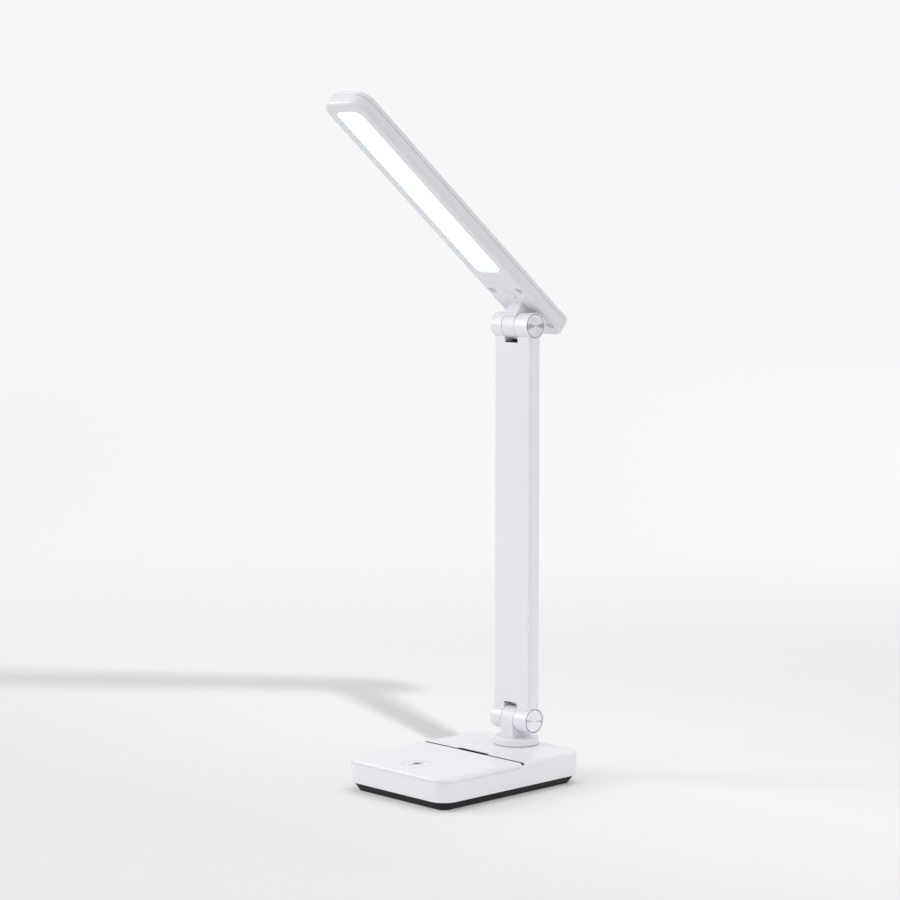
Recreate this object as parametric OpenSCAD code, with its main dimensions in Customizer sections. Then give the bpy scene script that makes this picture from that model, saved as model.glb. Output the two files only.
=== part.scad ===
// Folding LED desk lamp: a flat base with a lift-up charging plate, a turntable, a folding arm
// and a folding light head. Millimetres. +Z is up, the front is -Y, X runs across the base.
// The origin is the centre of the base's footprint on the table.

/* [Base] */
// Width of the base
base_w = 92; // [86:1:110]
// Length of the base, front to back
base_l = 125; // [118:1:150]
// Height of the base's top above the table
base_h = 21; // [20:0.5:28]
// Corner radius of the base in plan
base_corner = 11; // [9:0.5:14]
// Wall of the white case
case_wall = 2; // [1.8:0.1:2.1]
// Thickness of the fixed top behind the seam
top_t = 2.4; // [1.8:0.1:3]
// Height of the black tray's top edge above the table
tray_h = 5.8; // [5:0.1:6.6]
// How far the tray stands back from the case at its top edge
tray_inset_top = 1.2; // [0.8:0.1:1.4]
// How far the tray stands back from the case at its foot
tray_inset_low = 5; // [3:0.1:6]
// Wall of the tray
tray_wall = 1.5; // [1.2:0.1:2]
// Floor of the tray
tray_floor = 1.6; // [1.2:0.1:2]
// Thickness of the rubber sole
sole_t = 0.8; // [0.5:0.1:1.2]
// How far the sole stands in from the tray's foot
sole_margin = 0.4; // [0.2:0.1:1]
// Height of the lip that centres the case on the tray
lip_h = 2.5; // [1.5:0.1:3.5]
// Thickness of the lip
lip_w = 1.4; // [1:0.1:1.8]
// Radius of the pillars that take the case's screws
pillar_r = 3; // [2.6:0.1:3.4]

/* [Charging plate] */
// Thickness of the charging plate, whose front edge is a half round nose
plate_t = 4.4; // [4.2:0.1:5]
// Distance from the hinge axis of the arm forward to the seam behind the plate
seam_ahead = 40.1; // [32:0.5:46]
// Width of the seam
seam_gap = 2.4; // [1.8:0.1:3]
// Depth of the black rib's top in the seam
seam_depth = 0.15; // [0.1:0.05:0.4]
// Rounding of the plate's corners beside the seam in plan
seam_corner = 0.5; // [0.3:0.1:1]
// Height of the black ends of the seam above the plate's hinge axis
seam_sill = 0.9; // [0.4:0.1:1.2]
// Width of the finger cup behind the seam
cup_w = 27.6; // [20:0.2:40]
// Depth of the finger cup back from the seam
cup_d = 2.3; // [2:0.1:4]
// Offset of the finger cup from the middle of the base
cup_x = -1.2; // [-2:0.1:2]
// Corner radius of the finger cup
cup_corner = 1.5; // [1.4:0.1:2]
// Wall of the finger cup
cup_wall = 1; // [0.8:0.1:1.4]
// Radius of the scoop under the plate's rear edge, for the fingertip
scoop_r = 2.6; // [2:0.1:3]
// Thickness of the black deck under the plate
deck_t = 1.6; // [1.2:0.1:2]
// Distance of the plate's hinge ears from the middle
ear_x = 28; // [20:1:30]
// Width of each hinge ear
ear_w = 2.4; // [2:0.1:3]
// Radius of each hinge ear
ear_r = 1.5; // [1.4:0.05:1.6]
// Radius of the plate's hinge pins
plate_pin_r = 0.7; // [0.6:0.05:0.8]
// Length of the plate's hinge pins
plate_pin_l = 8; // [6:0.5:10]
// Width of the pocket for the charging coil
pocket_w = 54; // [50:1:60]
// Length of the pocket for the charging coil
pocket_l = 48; // [46:1:52]
// Corner radius of the pocket
pocket_corner = 6; // [3:0.5:8]
// Skin of the plate above the coil
plate_skin = 1.4; // [1.2:0.1:1.6]
// Thickness of the cover under the coil
coil_cover_t = 1; // [0.8:0.1:1.2]
// Outer radius of the charging coil
coil_r = 21; // [18:0.5:22]
// Radius of the eye of the charging coil
coil_eye = 10; // [8:0.5:12]
// Thickness of the charging coil
coil_t = 1.1; // [0.9:0.1:1.1]
// Thickness of the ferrite sheet
ferrite_t = 0.5; // [0.4:0.1:0.5]
// Distance of the charging mark's centre from the front edge
mark_back = 20.5; // [18:0.5:30]
// Radius of the ring of the charging mark
mark_ring_r = 9.3; // [8:0.1:10]
// Line width of the ring of the charging mark
mark_line = 0.5; // [0.4:0.1:1]
// Length of the bolt in the charging mark
mark_l = 13; // [8:0.5:14]
// Depth of the charging mark's inlay
mark_t = 0.3; // [0.2:0.1:0.5]

/* [Inside the base] */
// Distance of the ballast plate from the front of the base
ballast_front = 10; // [9:0.5:20]
// Distance of the ballast plate from the sides of the base
ballast_side = 11; // [10:0.5:20]
// Thickness of the ballast plate
ballast_t = 6; // [4:0.5:8]
// Length of the battery pack, front to back
battery_l = 34; // [28:1:36]
// Width of the battery pack
battery_w = 60; // [50:1:66]
// Thickness of the battery pack
battery_t = 7; // [6:0.5:8]
// Gap between the ballast plate and the battery pack
ballast_gap = 3; // [1:0.5:6]
// Gap between the battery pack and the main board
battery_gap = 1.2; // [0.6:0.1:2]
// Width of the main board
board_w = 24; // [20:0.5:24]
// Length of the main board, front to back
board_l = 30; // [26:0.5:31]
// Thickness of the circuit boards
board_t = 1.6; // [1:0.1:1.6]
// Distance of the main board's screws from its edges
board_hole_in = 3; // [2.5:0.5:4]
// Height of the posts under the main board
post_h = 4.4; // [4:0.1:5]
// Width of the charging socket's mouth
socket_w = 8.9; // [8.4:0.1:9.2]
// Height of the charging socket's mouth
socket_h = 3.2; // [3:0.1:3.4]
// Length of the charging socket
socket_l = 7.4; // [6.5:0.1:8]
// Wall of the charging socket
socket_wall = 0.35; // [0.25:0.05:0.4]

/* [Turntable] */
// Distance from the arm's hinge axis back to the rear of the base
axis_to_rear = 15.1; // [15:0.1:20]
// Height of the arm's lower hinge axis above the table
lower_axis_z = 37.7; // [36:0.1:50]
// Radius of the collar
collar_r = 14.7; // [13.5:0.1:15]
// Height of the collar
collar_h = 4.4; // [4:0.1:5.2]
// Rounding of the collar's top edge
collar_round = 0.8; // [0.4:0.1:1.2]
// Thickness of the glide ring under the collar
glide_t = 0.35; // [0.3:0.05:0.5]
// Radius of the swivel shaft
shaft_r = 5; // [4:0.1:6]
// Radius of the cable hole in the swivel shaft
cable_hole_r = 1.8; // [1.2:0.1:2]
// Length of the bearing boss under the fixed top
bearing_l = 5; // [4:0.1:6]
// Thickness of the washer above the swivel nut
swivel_washer_t = 0.6; // [0.4:0.1:0.8]
// Thickness of the swivel nut
nut_t = 3.6; // [3:0.1:4]

/* [Arm] */
// Distance between the two hinge axes
arm_l = 257; // [230:1:290]
// Width of the arm
arm_w = 31.6; // [30:0.1:36]
// Depth of the arm, front to back
arm_d = 10; // [9.4:0.1:11]
// Wall of the arm's rear shell
arm_wall = 1.8; // [1.4:0.1:2]
// Thickness of the arm's front shell
front_skin = 1.2; // [1:0.1:1.6]
// Width of the parting line between the arm's shells
arm_seam = 0.1; // [0.05:0.01:0.2]
// Depth of the lips that hold the front shell inside the rear shell
front_lip = 2.4; // [1.5:0.1:3]
// Thickness of these lips
front_lip_w = 1; // [0.8:0.1:1.4]
// Rounding of the arm's long edges
arm_edge = 1.2; // [0.6:0.1:1.4]
// Radius of the knuckles
knuckle_r = 8.4; // [8:0.1:9]
// Overall width of each hinge
hinge_w = 32.4; // [31.8:0.1:37]
// Width of the middle knuckle
mid_w = 10.9; // [10:0.1:12]
// Offset of the middle knuckle from the arm's middle
mid_x = -0.8; // [-2:0.1:2]
// Depth of the notch beyond each hinge axis
notch_reach = 11; // [10.8:0.1:12]
// Thickness of the black liners in the notches
liner_t = 0.8; // [0.6:0.1:0.8]
// How far the head's neck stands out in front of its knuckle
neck_proud = 1.2; // [0.4:0.1:1.2]
// Radius of the hinge pins
pin_r = 2.5; // [2:0.1:2.8]
// Radius of the hole through the hinge pins
pin_hole_r = 1.2; // [0.8:0.1:1.4]
// Radius of the spun metal caps
cap_r = 7.2; // [6.6:0.1:7.4]
// Thickness of the spun metal caps
cap_t = 1.9; // [1.5:0.1:2.2]
// Rounding of the caps' rims
cap_round = 0.4; // [0.2:0.1:0.6]
// Width of the dark ring round the caps
cap_ring = 0.6; // [0.3:0.1:0.7]
// Depth of the pockets for the caps
cap_pocket = 1.7; // [1.4:0.1:2]
// Thickness of the friction washers
washer_t = 0.3; // [0.2:0.05:0.4]
// Width of the flat cable inside the arm
cable_w = 7; // [5:0.5:8]
// Thickness of the flat cable inside the arm
cable_t = 1; // [0.8:0.1:1.2]

/* [Head] */
// Tilt of the head above level in the stored pose, in degrees
head_tilt = 39; // [0:1:60]
// Reach of the head ahead of its hinge axis
head_ahead = 205.4; // [190:0.1:215]
// Reach of the head behind its hinge axis
head_behind = 25.1; // [24:0.1:30]
// Width of the head
head_w = 36.4; // [35:0.1:42]
// Height of the lower housing
frame_h = 6.8; // [6.7:0.1:8]
// Width of the dark line between housing and cover
cover_gap = 0.4; // [0.2:0.1:0.6]
// Thickness of the cover's plate at its edge
cover_t = 3.2; // [2.4:0.1:4]
// Thickness of the cover's plate above the light board
cover_skin = 1.9; // [1.6:0.1:2.2]
// How far the cover stands in from the housing's sides
cover_inset = 0.25; // [0:0.05:0.5]
// Corner radius of the head in plan
head_corner = 9.5; // [8:0.5:11]
// Rounding of the housing's lower edge
head_edge = 2.2; // [1:0.1:2.4]
// Rounding of the cover's top edge
cover_edge = 1; // [0.6:0.1:1.4]
// Distance from the hinge axis up to the head's underside
head_drop = 10.8; // [10.5:0.1:14]
// Wall of the head's housing
head_wall = 1.8; // [1.4:0.1:2]
// Floor of the head's housing
head_floor = 1.8; // [1.6:0.1:2]
// Thickness of the floor around the hinge
pad_t = 2.6; // [2.4:0.1:2.8]
// Width of the border round the lit panel
lit_border = 6.3; // [5:0.1:7]
// Border between the lit panel and the head's tip
lit_tip = 7.6; // [6:0.1:10]
// Start of the lit panel ahead of the hinge axis
lit_start = 41; // [36:0.5:50]
// Corner radius of the lit panel
lit_corner = 7; // [5:0.5:8]
// Depth of the lit panel's face in the housing
lit_recess = 0.6; // [0.2:0.1:0.8]
// Thickness of the lit panel
lit_t = 1.5; // [1.4:0.1:1.8]
// Number of light chips in each row
chip_count = 14; // [10:1:18]
// Spread of the two rows of chips
chip_spread = 10; // [6:0.5:14]
// Side of each light chip
chip_side = 2.8; // [2:0.1:3]
// Distance of the head's screws from the middle
screw_x = 12; // [10.5:0.1:12.5]
// Distance of the front pair of screws ahead of the hinge axis
screw_front = 22.6; // [18:0.1:24]
// Distance of the rear pair of screws behind the hinge axis
screw_rear = 13.8; // [12:0.1:15]
// Radius of the recesses of the head's screws
recess_r = 2.7; // [2.4:0.1:3]
// Depth of the recesses of the head's screws
recess_d = 1.5; // [1.4:0.1:1.6]
// Radius of the power button
button_r = 4.2; // [3.4:0.1:4.4]
// Distance of the power button ahead of the hinge axis
button_ahead = 18.2; // [17:0.1:20]
// How far the power button stands out
button_proud = 0.3; // [0.1:0.1:0.6]
// Travel of the power button
button_travel = 0.4; // [0.3:0.1:0.5]

/* [Fits] */
// Gap between pieces that are screwed or clipped together
fit = 0.15; // [0.1:0.01:0.2]
// Gap round the charging plate
plate_fit = 0.1; // [0.08:0.01:0.2]
// Radial clearance of a running shaft
run = 0.06; // [0.03:0.01:0.1]
// Radial clearance of a pressed pin or a screw
snug = 0.02; // [0.01:0.01:0.04]
// Thickness of air between faces that slide on each other
skim = 0.05; // [0.02:0.01:0.1]

/* [Hidden] */
$fn = 72;

white = [0.93, 0.92, 0.95];
black = [0.06, 0.06, 0.07];
steel = [0.72, 0.72, 0.74];
green = [0.08, 0.32, 0.2];

eps = 0.01;
big = 400;
front_y = -base_l / 2;
rear_y = base_l / 2;
hinge_y = rear_y - axis_to_rear;
seam_y = hinge_y - seam_ahead;
upper_axis_z = lower_axis_z + arm_l;

nose_r = plate_t / 2;
plate_rear = seam_y - seam_gap / 2;
seam_back = seam_y + seam_gap / 2;
plate_axis_y = front_y + nose_r;
plate_axis_z = base_h - nose_r;
plate_floor = base_h - plate_t;
deck_top = plate_floor - 2 * plate_fit;
deck_low = deck_top - deck_t;
deck_back = seam_back + cup_d + 1.5;
rib_front = plate_rear + 2 * plate_fit;
rib_back = seam_back - skim;
rib_top = base_h - seam_depth;
cup_in = fit + cup_wall;
slot_w = ear_w + 4 * plate_fit;
slot_r = ear_r + 1.5 * plate_fit;
// How far below the hinge axis the ears' slots open to the front
slot_sill = 0.65;
stand_r = 2.5;
stand_x = pocket_w / 2 + 2 * stand_r;
stand_y = [front_y + 12, plate_rear - 10];
pocket_y = (plate_axis_y + plate_rear) / 2;
pocket_top = base_h - plate_skin;
coil_top = pocket_top - skim;
ferrite_top = coil_top - coil_t - skim;
mark_y = front_y + mark_back;

floor_top = sole_t + tray_floor;
lip_inset = case_wall + fit;
screw_r = 1.2;
screw_head_r = 2.3;
screw_head_h = 1.2;
// The pillars stand inside the tray's foot, on the diagonals of its corners
pillar_margin = 0.6;
pillar_out = base_corner - tray_inset_low - screw_head_r - fit - pillar_margin;
pillar_x = base_w / 2 - base_corner + pillar_out * sqrt(0.5);
pillar_y = base_l / 2 - base_corner + pillar_out * sqrt(0.5);
pillar_seat = floor_top + screw_head_h / 2;
case_screw_l = 7;
case_screw_top = sole_t + skim + screw_head_h + case_screw_l;
deck_screw_l = 2.8;
web_t = 2;
deck_head_r = 1.9;
deck_head_h = 0.85;
rest_w = 6;
rest_h = 5;
rest_y = seam_y - 5;
rest_x = base_w / 2 - case_wall - rest_w / 2;
board_x = -pillar_x + pillar_r + 0.7 + board_w / 2;
board_y = rear_y - case_wall - 0.8 - board_l / 2;
battery_y = board_y - board_l / 2 - battery_gap - battery_l / 2;
ballast_rear = battery_y - battery_l / 2 - ballast_gap;
ballast_l = ballast_rear - front_y - ballast_front;
board_z = floor_top + post_h;
post_r = 2;
socket_z = board_z + board_t + socket_h / 2;
socket_face = rear_y - 0.6;
tongue_w = socket_w - 2.6;
tongue_t = 0.7;

glide_r = collar_r - 1.2;
collar_z = base_h + glide_t + skim;
flange_r = collar_r - 2.4;
flange_t = collar_h / 2;
bearing_r = shaft_r + 3.6;
bearing_low = base_h - top_t - bearing_l;
nut_r = bearing_r - 0.4;
washer_low = bearing_low - skim - swivel_washer_t;
nut_low = washer_low - skim - nut_t;
shaft_low = nut_low - 0.6;

fork_gap = mid_w + 2 * (washer_t + 2 * skim);
fork_near = mid_x + fork_gap / 2;
fork_far = mid_x - fork_gap / 2;
fork_front = -arm_d / 2 + front_skin + arm_seam;
crease = sqrt(knuckle_r * knuckle_r - arm_d * arm_d / 4);
web_l = 10;
// The arm's rear wall ends this far from each hinge axis, clear of the swinging post and neck
rear_reach = knuckle_r + 0.6;
liner_reach = rear_reach + 0.3;
cable_slot_w = cable_w + 1;
cable_slot_t = cable_t + 0.8;
pin_half = hinge_w / 2 - cap_pocket;

head_l = head_ahead + head_behind;
head_mid = (head_behind - head_ahead) / 2;
lit_end = head_ahead - lit_tip;
lit_w = head_w - 2 * lit_border;
lit_l = lit_end - lit_start;
lit_mid = -(lit_end + lit_start) / 2;
frame_top = head_drop + frame_h;
cover_low = frame_top + cover_gap;
cover_hollow = cover_t - cover_skin;
pad_top = head_drop + pad_t;
bracket_t = 1.5;
// The neck's lower edge lies just above the hinge axis
neck_low = 0.4;
bracket_w = head_w - 2 * head_wall - 1.2;
bracket_ahead = screw_front + 3.6;
bracket_behind = screw_rear + 3.6;
chip_t = 0.6;
led_board_t = 1;
board_low = frame_top - led_board_t - 0.2;
led_board_w = lit_w - 3;
chip_pitch = lit_l / (chip_count + 0.5);
flange_low = pad_top + skim;
button_flange = button_r + 0.9;
button_top = flange_low + 0.6;
stem_r = 1.3;
stem_top = button_top + 0.4;
nub_r = 1.6;
nub_low = stem_top + button_travel + skim;
switch_low = nub_low + 0.4;
switch_side = 6;
switch_t = 1.6;
screw_sink = 0.45;

// Flat shapes

module round_rect(w, l, r) {
    square([w - 2 * r, l], center = true);
    square([w, l - 2 * r], center = true);
    for (sx = [-1, 1], sy = [-1, 1])
        translate([sx * (w / 2 - r), sy * (l / 2 - r)])
            circle(r);
}

// What rounding by e takes off a section's top right corner, which lies at the origin
module corner_cut(e) {
    translate([-e, -e])
        difference() {
            square(e + 1);
            circle(e);
        }
}

// A slab's section, w wide and h high, rounded at its outer edges
module section(w, h, top, low) {
    difference() {
        translate([-w / 2, 0])
            square([w, h]);
        for (side = [0, 1])
            mirror([side, 0]) {
                if (top > 0)
                    translate([w / 2, h])
                        corner_cut(top);
                if (low > 0)
                    translate([w / 2, 0])
                        mirror([0, 1])
                            corner_cut(low);
            }
    }
}

// Half the section of a disc of radius r and height h, with its top rim rounded by e
module disc_profile(r, h, e) {
    square([r - e, h]);
    square([r, h - e]);
    translate([r - e, h - e])
        circle(e);
}

// Solid helpers

// A rounded rectangular slab standing on z = 0, with its top and low edges rounded
module slab(w, l, r, h, top = 0, low = 0) {
    for (sx = [-1, 1], sy = [-1, 1])
        translate([sx * (w / 2 - r), sy * (l / 2 - r), 0])
            rotate_extrude()
                intersection() {
                    section(2 * r, h, top, low);
                    square([r, h]);
                }
    rotate([90, 0, 0])
        linear_extrude(l - 2 * r, center = true)
            section(w, h, top, low);
    rotate([90, 0, 90])
        linear_extrude(w - 2 * r, center = true)
            section(l, h, top, low);
}

// A slab whose straight walls lean in from inset a at its top to inset b at its foot
module leaning_slab(w, l, r, h, a, b) {
    for (sx = [-1, 1], sy = [-1, 1])
        translate([sx * (w / 2 - r), sy * (l / 2 - r), 0])
            cylinder(h = h, r1 = r - b, r2 = r - a);
    for (turn = [0, 90]) {
        across = (turn == 0 ? w : l) / 2;
        along = turn == 0 ? l : w;
        rotate([90, 0, turn])
            linear_extrude(along - 2 * r, center = true)
                polygon([[b - across, 0], [across - b, 0], [across - a, h], [a - across, h]]);
    }
}

module block(x, y, z) {
    translate([x[0], y[0], z[0]])
        cube([x[1] - x[0], y[1] - y[0], z[1] - z[0]]);
}

module rod_x(x, r) {
    translate([x[0], 0, 0])
        rotate([0, 90, 0])
            cylinder(h = x[1] - x[0], r = r);
}

module ring(z, r, hole) {
    translate([0, 0, z[0]])
        difference() {
            cylinder(h = z[1] - z[0], r = r);
            translate([0, 0, -1])
                cylinder(h = z[1] - z[0] + 2, r = hole);
        }
}

module pan_screw(head_r, head_h, r, l) {
    difference() {
        union() {
            cylinder(h = head_h, r = head_r);
            translate([0, 0, head_h - eps])
                cylinder(h = l + eps, r = r);
        }
        translate([0, 0, -eps])
            cylinder(h = head_h / 2, r = head_r / 2, $fn = 6);
    }
}

module at_corners(x, y) {
    for (sx = [-1, 1], sy = [-1, 1])
        translate([sx * x, sy * y, 0])
            children();
}

module at_lower_axis() {
    translate([0, hinge_y, lower_axis_z])
        children();
}

module at_upper_axis() {
    translate([0, hinge_y, upper_axis_z])
        children();
}

// The head's own frame: its hinge axis is X, its tip points to -Y, its underside faces -Z
module in_head() {
    at_upper_axis()
        rotate([-head_tilt, 0, 0])
            children();
}

// Base

module case_outline(inset) {
    round_rect(base_w - 2 * inset, base_l - 2 * inset, base_corner - inset);
}

module sole_pad() {
    color(black)
        linear_extrude(sole_t)
            case_outline(tray_inset_low + sole_margin);
}

// Where the main board's posts and screws stand
module board_place() {
    translate([board_x, board_y, 0])
        at_corners(board_w / 2 - board_hole_in, board_l / 2 - board_hole_in)
            children();
}

module bottom_tray() {
    color(black)
        difference() {
            union() {
                difference() {
                    translate([0, 0, sole_t])
                        leaning_slab(base_w, base_l, base_corner, tray_h - sole_t,
                                     tray_inset_top, tray_inset_low);
                    translate([0, 0, floor_top])
                        linear_extrude(big)
                            case_outline(tray_inset_low + tray_wall);
                }
                translate([0, 0, tray_h - eps])
                    linear_extrude(lip_h + eps)
                        difference() {
                            case_outline(lip_inset);
                            case_outline(lip_inset + lip_w);
                        }
                board_place()
                    translate([0, 0, floor_top - eps])
                        cylinder(h = board_z - floor_top + eps, r = post_r);
            }
            at_corners(pillar_x, pillar_y) {
                translate([0, 0, pillar_seat])
                    cylinder(h = big, r = pillar_r + fit);
                cylinder(h = sole_t + screw_head_h + 2 * skim, r = screw_head_r + fit);
                cylinder(h = big, r = screw_r + fit);
            }
            board_place()
                translate([0, 0, floor_top])
                    cylinder(h = big, r = screw_r);
            // the lip leaves room for the main board's rear edge
            block([board_x - board_w / 2 - 1, board_x + board_w / 2 + 1], [board_y, rear_y],
                  [tray_h, big]);
        }
}

// Everything in front of y
module ahead_of(y) {
    translate([-big / 2, y - big])
        square([big, big]);
}

// The space that the charging plate and the seam take out of the case
module plate_space() {
    grown = plate_fit;
    inner_x = base_w / 2 - case_wall;
    intersection() {
        translate([0, 0, plate_floor - grown])
            slab(base_w + 2 * grown, base_l + 2 * grown, base_corner + grown,
                 plate_t + 2 * grown, nose_r + grown, nose_r + grown);
        linear_extrude(big)
            ahead_of(plate_rear + grown);
    }
    // the seam goes down to its sill at the sides, and to the hollow between them
    block([-big, big], [plate_rear, seam_back], [plate_axis_z + seam_sill, big]);
    block([-inner_x, inner_x], [plate_rear, seam_back], [plate_floor, big]);
}

// The finger cup's outline, smaller by inset, as far ahead of the seam as behind it
module cup_flat(inset) {
    translate([cup_x, seam_y])
        round_rect(cup_w - 2 * inset, seam_gap + 2 * (cup_d - inset), cup_corner - inset);
}

module base_case() {
    web_low = tray_h + lip_h + 2 * fit;
    web_l = base_corner - case_wall - pillar_out + 0.5;
    color(white)
        difference() {
            union() {
                difference() {
                    translate([0, 0, tray_h])
                        slab(base_w, base_l, base_corner, base_h - tray_h, nose_r);
                    translate([0, 0, tray_h - 1])
                        linear_extrude(base_h - top_t - tray_h + 1)
                            case_outline(case_wall);
                }
                for (sx = [-1, 1], sy = [-1, 1]) {
                    pillar_top = sy < 0 ? deck_low : base_h - top_t + eps;
                    translate([sx * pillar_x, sy * pillar_y, 0]) {
                        translate([0, 0, pillar_seat + fit])
                            cylinder(h = pillar_top - pillar_seat - fit, r = pillar_r);
                        rotate([0, 0, atan2(sy, sx)])
                            block([pillar_r - 0.4, web_l], [-web_t / 2, web_t / 2],
                                  [web_low, deck_low - 1]);
                    }
                }
                for (sx = [-1, 1])
                    translate([sx * (rest_x + 0.5), rest_y, deck_low - rest_h])
                        linear_extrude(rest_h)
                            square([rest_w, rest_w], center = true);
                translate([0, hinge_y, bearing_low])
                    cylinder(h = bearing_l + eps, r = bearing_r);
            }
            plate_space();
            translate([0, 0, base_h - top_t - 1])
                linear_extrude(big)
                    cup_flat(0);
            translate([0, hinge_y, bearing_low - 1])
                cylinder(h = big, r = shaft_r + run);
            at_corners(pillar_x, pillar_y)
                cylinder(h = case_screw_top + 1, r = screw_r);
            at_deck_screws()
                translate([0, 0, -deck_screw_l - 0.4])
                    cylinder(h = big, r = screw_r);
            translate([board_x, rear_y, socket_z])
                rotate([90, 0, 0])
                    linear_extrude(4 * case_wall, center = true)
                        round_rect(socket_w + 2 * fit, socket_h + 2 * fit, socket_h / 2);
        }
}

// The two screws of the charging plate's deck in the front pillars and the two in the side rests
module at_deck_screws() {
    for (sx = [-1, 1], place = [[pillar_x, -pillar_y], [rest_x, rest_y]])
        translate([sx * place[0], place[1], deck_low])
            children();
}

module case_screws() {
    color(steel)
        at_corners(pillar_x, pillar_y)
            translate([0, 0, sole_t + skim])
                pan_screw(screw_head_r, screw_head_h, screw_r - snug, case_screw_l);
}

module ear_place() {
    for (sx = [-1, 1])
        translate([sx * ear_x, plate_axis_y, plate_axis_z])
            children();
}

module charge_deck() {
    wall_face = front_y + case_wall + plate_fit - plate_axis_y;
    rib_in = base_w / 2 - case_wall;
    color(black)
        difference() {
            union() {
                translate([0, 0, deck_low])
                    linear_extrude(deck_t)
                        intersection() {
                            case_outline(case_wall + plate_fit);
                            ahead_of(deck_back);
                        }
                // the rib that fills the seam, up to the sides of the base
                intersection() {
                    translate([0, 0, plate_floor])
                        slab(base_w, base_l, base_corner, plate_t, nose_r, nose_r);
                    block([-big, big], [rib_front, rib_back],
                          [plate_axis_z + seam_sill + skim, rib_top]);
                }
                block([1 - rib_in, rib_in - 1], [rib_front, rib_back], [deck_low, rib_top]);
                // the finger cup's wall
                translate([0, 0, deck_top - eps])
                    linear_extrude(rib_top - deck_top + eps)
                        difference() {
                            cup_flat(fit);
                            ahead_of(rib_front);
                        }
                for (sx = [-1, 1], y = stand_y)
                    translate([sx * stand_x, y, deck_top - eps])
                        cylinder(h = plate_floor - skim - deck_top + eps, r = stand_r);
                ear_place() {
                    rod_x([-ear_w / 2, ear_w / 2], ear_r);
                    block([-ear_w / 2, ear_w / 2], [wall_face, ear_r], [deck_low - plate_axis_z, 0]);
                }
            }
            ear_place()
                rod_x([-ear_w, ear_w], plate_pin_r + run);
            translate([0, 0, deck_top])
                linear_extrude(big)
                    cup_flat(cup_in);
            at_deck_screws() {
                translate([0, 0, -1])
                    cylinder(h = big, r = screw_r + fit);
                translate([0, 0, deck_t - deck_head_h - skim])
                    cylinder(h = big, r = deck_head_r + fit);
            }
        }
}

module deck_screws() {
    color(steel)
        at_deck_screws()
            translate([0, 0, deck_t])
                rotate([180, 0, 0])
                    pan_screw(deck_head_r, deck_head_h, screw_r - snug,
                              deck_t - deck_head_h + deck_screw_l);
}

module ballast_plate() {
    color(steel)
        translate([0, ballast_rear - ballast_l / 2, floor_top])
            linear_extrude(ballast_t)
                round_rect(base_w - 2 * ballast_side, ballast_l, 4);
}

module battery_pack() {
    color("steelblue")
        translate([0, battery_y, floor_top])
            slab(battery_w, battery_l, 4, battery_t, 1.5, 0);
}

module main_board() {
    color(green)
        difference() {
            translate([board_x, board_y, board_z]) {
                linear_extrude(board_t)
                    round_rect(board_w, board_l, 1);
                // the controller, a capacitor and a choke
                translate([1, -4, board_t - eps])
                    linear_extrude(1)
                        square([7, 7], center = true);
                translate([-6.5, -2, board_t - eps])
                    cylinder(h = 3, r = 2.4);
                translate([6.5, 3, board_t - eps])
                    linear_extrude(2.2)
                        square([4.5, 4.5], center = true);
            }
            board_place()
                cylinder(h = big, r = screw_r + fit);
        }
}

module board_screws() {
    color(steel)
        board_place()
            translate([0, 0, board_z + board_t + 1])
                rotate([180, 0, 0])
                    pan_screw(2, 1, screw_r - snug, board_t + post_h - 1.5);
}

module charging_socket() {
    color(steel)
        translate([board_x, socket_face, socket_z])
            rotate([90, 0, 0])
                difference() {
                    linear_extrude(socket_l)
                        round_rect(socket_w, socket_h, socket_h / 2 - eps);
                    translate([0, 0, -eps])
                        linear_extrude(socket_l - 1)
                            difference() {
                                round_rect(socket_w - 2 * socket_wall, socket_h - 2 * socket_wall,
                                           socket_h / 2 - socket_wall - eps);
                                square([tongue_w, tongue_t], center = true);
                            }
                }
}

// Charging plate

module bolt_flat(l) {
    polygon([[0.1 * l, 0.5 * l], [-0.28 * l, -0.08 * l], [-0.02 * l, -0.08 * l],
             [-0.1 * l, -0.5 * l], [0.28 * l, 0.08 * l], [0.02 * l, 0.08 * l]]);
}

module mark_flat(grow) {
    difference() {
        circle(mark_ring_r + grow);
        circle(mark_ring_r - mark_line - grow);
    }
    bolt_flat(mark_l);
}

module charge_plate() {
    color(white)
        difference() {
            intersection() {
                translate([0, 0, plate_floor])
                    slab(base_w, base_l, base_corner, plate_t, nose_r, nose_r);
                linear_extrude(big)
                    difference() {
                        ahead_of(plate_rear);
                        for (side = [0, 1])
                            mirror([side, 0])
                                translate([base_w / 2, plate_rear])
                                    corner_cut(seam_corner);
                    }
            }
            // the scoop that a fingertip reaches from the cup
            translate([0, plate_rear, plate_floor])
                rod_x([cup_x - cup_w / 2 + cup_in, cup_x + cup_w / 2 - cup_in], scoop_r);
            // pocket for the coil, open below
            translate([0, pocket_y, plate_floor - 1])
                linear_extrude(pocket_top - plate_floor + 1)
                    round_rect(pocket_w, pocket_l, pocket_corner);
            translate([0, mark_y, base_h - mark_t])
                linear_extrude(1)
                    mark_flat(snug);
            // slots for the ears, open below and to the front for the swing
            ear_place() {
                rod_x([-slot_w / 2, slot_w / 2], slot_r);
                block([-slot_w / 2, slot_w / 2], [-nose_r - 1, slot_r], [-nose_r - 1, -slot_sill]);
                block([-slot_w / 2, slot_w / 2], [0, slot_r], [-nose_r - 1, 0]);
                rod_x([-plate_pin_l / 2 - snug, plate_pin_l / 2 + snug], plate_pin_r + snug);
            }
        }
}

module charge_coil() {
    color([0.72, 0.42, 0.2])
        translate([0, pocket_y, 0])
            ring([coil_top - coil_t, coil_top], coil_r, coil_eye);
}

module ferrite_sheet() {
    color([0.2, 0.2, 0.22])
        translate([0, pocket_y, ferrite_top - ferrite_t])
            linear_extrude(ferrite_t)
                round_rect(2 * coil_r + 2, 2 * coil_r + 2, 2);
}

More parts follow.
